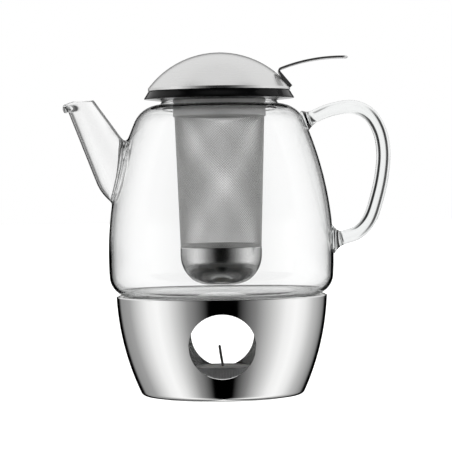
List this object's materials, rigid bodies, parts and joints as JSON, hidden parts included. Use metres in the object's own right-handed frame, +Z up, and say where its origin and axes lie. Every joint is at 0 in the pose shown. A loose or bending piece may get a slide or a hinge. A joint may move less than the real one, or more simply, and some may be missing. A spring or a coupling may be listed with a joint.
{
  "type": "glass teapot with infuser and tealight warmer",
  "caption": "Clear glass teapot with a hinged steel dome lid and a hanging mesh infuser, standing on a polished steel tealight warmer with round windows.",
  "frame": {"origin": "centre of the warmer's foot, on the table", "axes": "+Z up, -X towards the spout, +X towards the handle, -Y towards the front window"},
  "size_m": [0.1878, 0.129, 0.1968],
  "materials": {
    "polished_steel": "mirror polished stainless steel",
    "satin_steel": "satin stainless steel",
    "steel_mesh": "fine woven stainless wire",
    "tealight_foil": "thin drawn aluminium",
    "wax": "white paraffin wax",
    "wick_cotton": "braided waxed cotton",
    "clear_glass": "clear borosilicate glass",
    "black_plastic": "glossy black heat-proof plastic",
    "seal_silicone": "black silicone",
    "foot_rubber": "black non-slip silicone"
  },
  "bodies": {
    "stand": {"stand_shell": "polished_steel", "pot_rest_ring": "satin_steel", "tealight_locator": "satin_steel", "stand_foot_ring": "foot_rubber"},
    "tealight": {"tealight_cup": "tealight_foil", "tealight_wax": "wax", "tealight_wick": "wick_cotton", "wick_tab": "tealight_foil"},
    "pot": {"glass_body": "clear_glass", "glass_spout": "clear_glass", "glass_handle": "clear_glass"},
    "infuser": {"lid_ring": "black_plastic", "neck_gasket": "seal_silicone", "hinge_pin": "satin_steel", "strainer_collar": "satin_steel", "strainer_mesh": "steel_mesh", "strainer_cup": "polished_steel"},
    "lid": {"lid_dome": "satin_steel", "lid_lever": "satin_steel", "hinge_leaf": "satin_steel"}
  },
  "joints": [
    {"name": "pot_lift", "type": "slide", "parent": "stand", "child": "pot", "axis": [0, 0, 1], "range_m": [0, 0.1]},
    {"name": "infuser_lift", "type": "slide", "parent": "pot", "child": "infuser", "axis": [0, 0, 1], "range_m": [0, 0.12]},
    {"name": "lid_hinge", "type": "hinge", "parent": "infuser", "child": "lid", "pos_m": [0.0398, 0, 0.1729], "axis": [0, 1, 0], "range_deg": [0, 34]},
    {"name": "tealight_lift", "type": "slide", "parent": "stand", "child": "tealight", "axis": [0, 0, 1], "range_m": [0, 0.02]}
  ]
}
